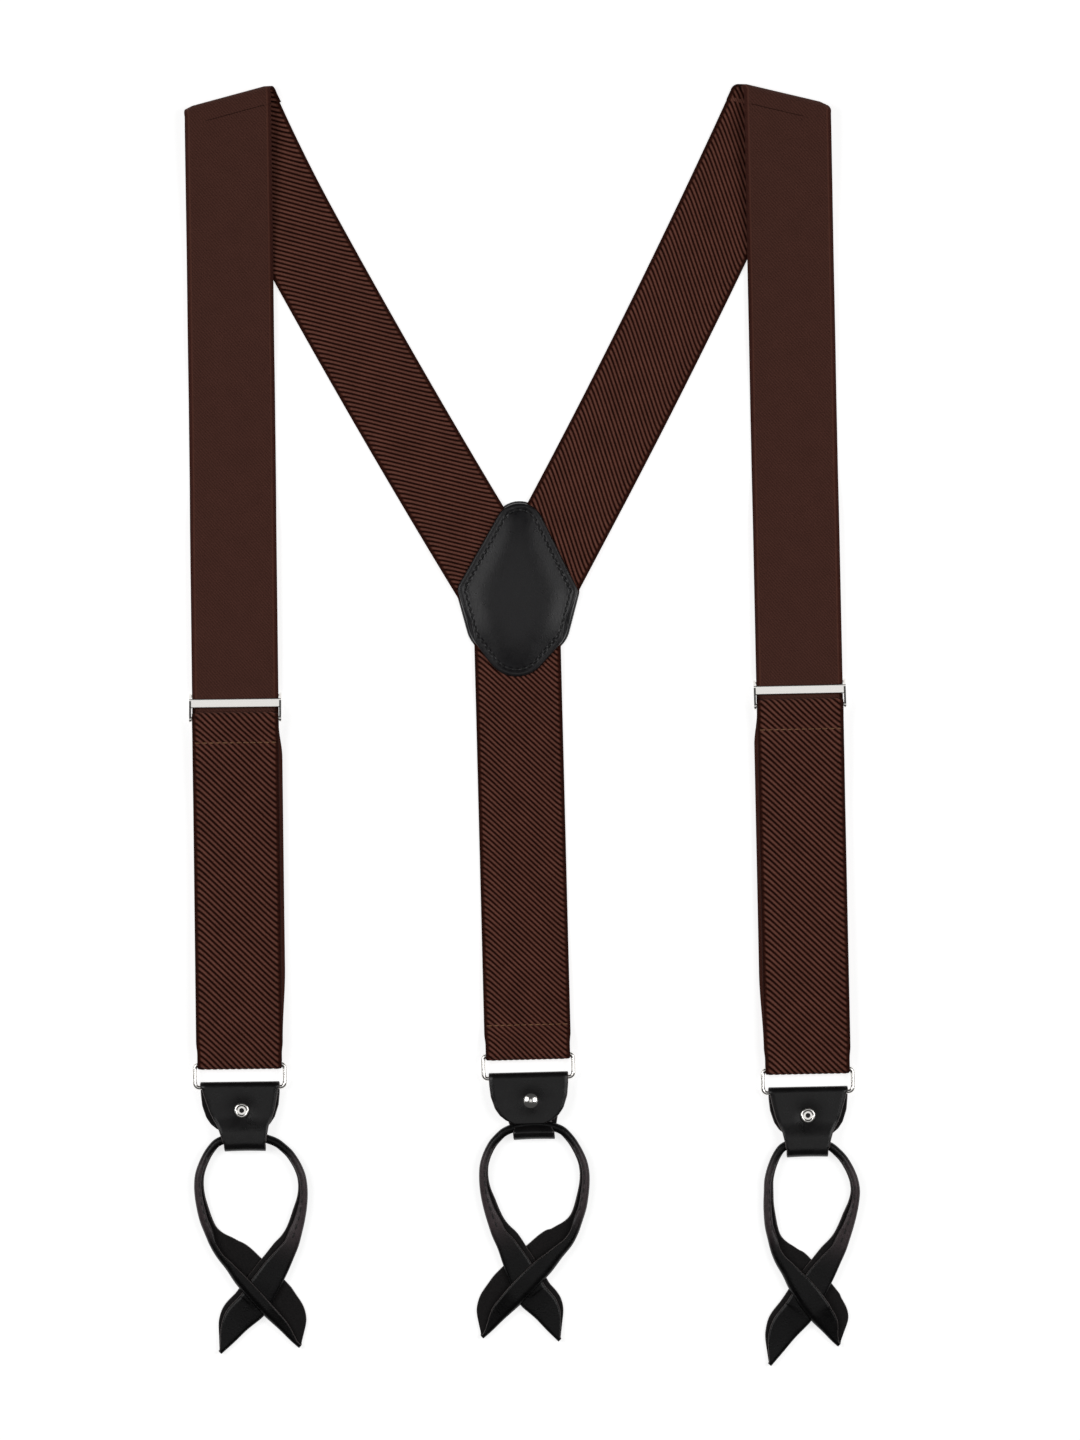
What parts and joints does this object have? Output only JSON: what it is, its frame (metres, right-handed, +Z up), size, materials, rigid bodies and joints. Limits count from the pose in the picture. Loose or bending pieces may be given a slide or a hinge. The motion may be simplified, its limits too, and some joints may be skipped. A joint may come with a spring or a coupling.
{
  "type": "suspenders",
  "caption": "Y-back button-on suspenders of elastic webbing with a stitched leather back patch, lever adjusters, metal rings and rolled leather button loops.",
  "frame": {"origin": "on the table under the middle of the back patch, at the backing's flat face", "axes": "+Z up off the table that the suspenders lie on, +Y along the centre line towards the shoulders, +X towards the right-hand front"},
  "size_m": [0.2748, 0.515, 0.0084],
  "materials": {
    "webbing": "ribbed twill weave",
    "leather": "smooth, softly shining",
    "nickel": "polished nickel plate",
    "brown_thread": "twisted thread",
    "black_thread": "waxed thread",
    "cord_core": "twisted cord"
  },
  "bodies": {
    "back": {"patch_face": "leather", "patch_backing": "leather", "patch_thread": "black_thread", "centre_webbing": "webbing", "centre_hem_thread": "brown_thread", "left_back_webbing": "webbing", "left_fold_webbing": "webbing", "right_back_webbing": "webbing", "right_fold_webbing": "webbing"},
    "left_front": {"left_front_webbing": "webbing", "left_lower_webbing": "webbing"},
    "left_strap_end": {"left_ring_webbing": "webbing", "left_return_webbing": "webbing"},
    "left_adjuster": {"left_adjuster_frame": "nickel", "left_lever_pin": "nickel", "left_hem_webbing": "webbing", "left_hem_thread": "brown_thread"},
    "left_lever": {"left_adjuster_lever": "nickel"},
    "right_front": {"right_front_webbing": "webbing", "right_lower_webbing": "webbing"},
    "right_strap_end": {"right_ring_webbing": "webbing", "right_return_webbing": "webbing"},
    "right_adjuster": {"right_adjuster_frame": "nickel", "right_lever_pin": "nickel", "right_hem_webbing": "webbing", "right_hem_thread": "brown_thread"},
    "right_lever": {"right_adjuster_lever": "nickel"},
    "left_ring": {"left_ring": "nickel"},
    "left_tab": {"left_tab": "leather", "left_rivet": "nickel"},
    "left_loop": {"left_loop": "leather", "left_loop_core": "cord_core", "left_loop_thread": "black_thread"},
    "right_ring": {"right_ring": "nickel"},
    "right_tab": {"right_tab": "leather", "right_rivet": "nickel"},
    "right_loop": {"right_loop": "leather", "right_loop_core": "cord_core", "right_loop_thread": "black_thread"},
    "back_ring": {"back_ring": "nickel"},
    "back_tab": {"back_tab": "leather", "back_rivet": "nickel"},
    "back_loop": {"back_loop": "leather", "back_loop_core": "cord_core", "back_loop_thread": "black_thread"}
  },
  "joints": [
    {"name": "left_shoulder_fold", "type": "hinge", "parent": "back", "child": "left_front", "pos_m": [-0.11732, 0.19609, 0.0035], "axis": [-0.965, -0.2622, 0], "range_deg": [0, 175], "deforming": ["left_fold_webbing"]},
    {"name": "left_ring_travel", "type": "slide", "parent": "left_front", "child": "left_strap_end", "axis": [-0.0122, 0.9999, 0], "range_m": [-0.02, 0.03], "deforming": ["left_lower_webbing"]},
    {"name": "left_adjuster_travel", "type": "slide", "parent": "left_strap_end", "child": "left_adjuster", "axis": [-0.0122, 0.9999, 0], "range_m": [-0.02, 0.03], "deforming": ["left_return_webbing"]},
    {"name": "left_lever_flip", "type": "hinge", "parent": "left_adjuster", "child": "left_lever", "pos_m": [-0.1144, -0.04289, 0.00115], "axis": [0.9999, 0.0122, 0], "range_deg": [0, 75]},
    {"name": "right_shoulder_fold", "type": "hinge", "parent": "back", "child": "right_front", "pos_m": [0.10895, 0.19704, 0.0035], "axis": [-0.9732, 0.23, 0], "range_deg": [0, 175], "deforming": ["right_fold_webbing"]},
    {"name": "right_ring_travel", "type": "slide", "parent": "right_front", "child": "right_strap_end", "axis": [-0.0209, 0.9998, 0], "range_m": [-0.02, 0.03], "deforming": ["right_lower_webbing"]},
    {"name": "right_adjuster_travel", "type": "slide", "parent": "right_strap_end", "child": "right_adjuster", "axis": [-0.0209, 0.9998, 0], "range_m": [-0.02, 0.03], "deforming": ["right_return_webbing"]},
    {"name": "right_lever_flip", "type": "hinge", "parent": "right_adjuster", "child": "right_lever", "pos_m": [0.11386, -0.03741, 0.00115], "axis": [0.9998, 0.0209, 0], "range_deg": [0, 75]},
    {"name": "left_ring_swing", "type": "hinge", "parent": "left_strap_end", "child": "left_ring", "pos_m": [-0.11258, -0.19188, 0.0035], "axis": [0.9999, 0.0122, 0], "range_deg": [-75, 75]},
    {"name": "left_tab_swing", "type": "hinge", "parent": "left_ring", "child": "left_tab", "pos_m": [-0.11247, -0.20128, 0.0035], "axis": [0.9999, 0.0122, 0], "range_deg": [-75, 75]},
    {"name": "left_loop_slip", "type": "hinge", "parent": "left_tab", "child": "left_loop", "pos_m": [-0.10754, -0.24492, 0.0035], "axis": [0, 0, 1], "range_deg": [-18, 18]},
    {"name": "right_ring_swing", "type": "hinge", "parent": "right_strap_end", "child": "right_ring", "pos_m": [0.11714, -0.19388, 0.0035], "axis": [0.9998, 0.0209, 0], "range_deg": [-75, 75]},
    {"name": "right_tab_swing", "type": "hinge", "parent": "right_ring", "child": "right_tab", "pos_m": [0.11733, -0.20327, 0.0035], "axis": [0.9998, 0.0209, 0], "range_deg": [-75, 75]},
    {"name": "right_loop_slip", "type": "hinge", "parent": "right_tab", "child": "right_loop", "pos_m": [0.11909, -0.24415, 0.0035], "axis": [0, 0, 1], "range_deg": [-18, 18]},
    {"name": "back_ring_swing", "type": "hinge", "parent": "back", "child": "back_ring", "pos_m": [0.00402, -0.18804, 0.0035], "axis": [0.9997, 0.0253, 0], "range_deg": [-75, 75]},
    {"name": "back_tab_swing", "type": "hinge", "parent": "back_ring", "child": "back_tab", "pos_m": [0.00425, -0.19744, 0.0035], "axis": [0.9997, 0.0253, 0], "range_deg": [-75, 75]},
    {"name": "back_loop_slip", "type": "hinge", "parent": "back_tab", "child": "back_loop", "pos_m": [0.00709, -0.23848, 0.0035], "axis": [0, 0, 1], "range_deg": [-18, 18]}
  ],
  "couplings": [
    {"joint": "left_adjuster_travel", "follows": "left_ring_travel", "ratio": 1},
    {"joint": "right_adjuster_travel", "follows": "right_ring_travel", "ratio": 1}
  ]
}
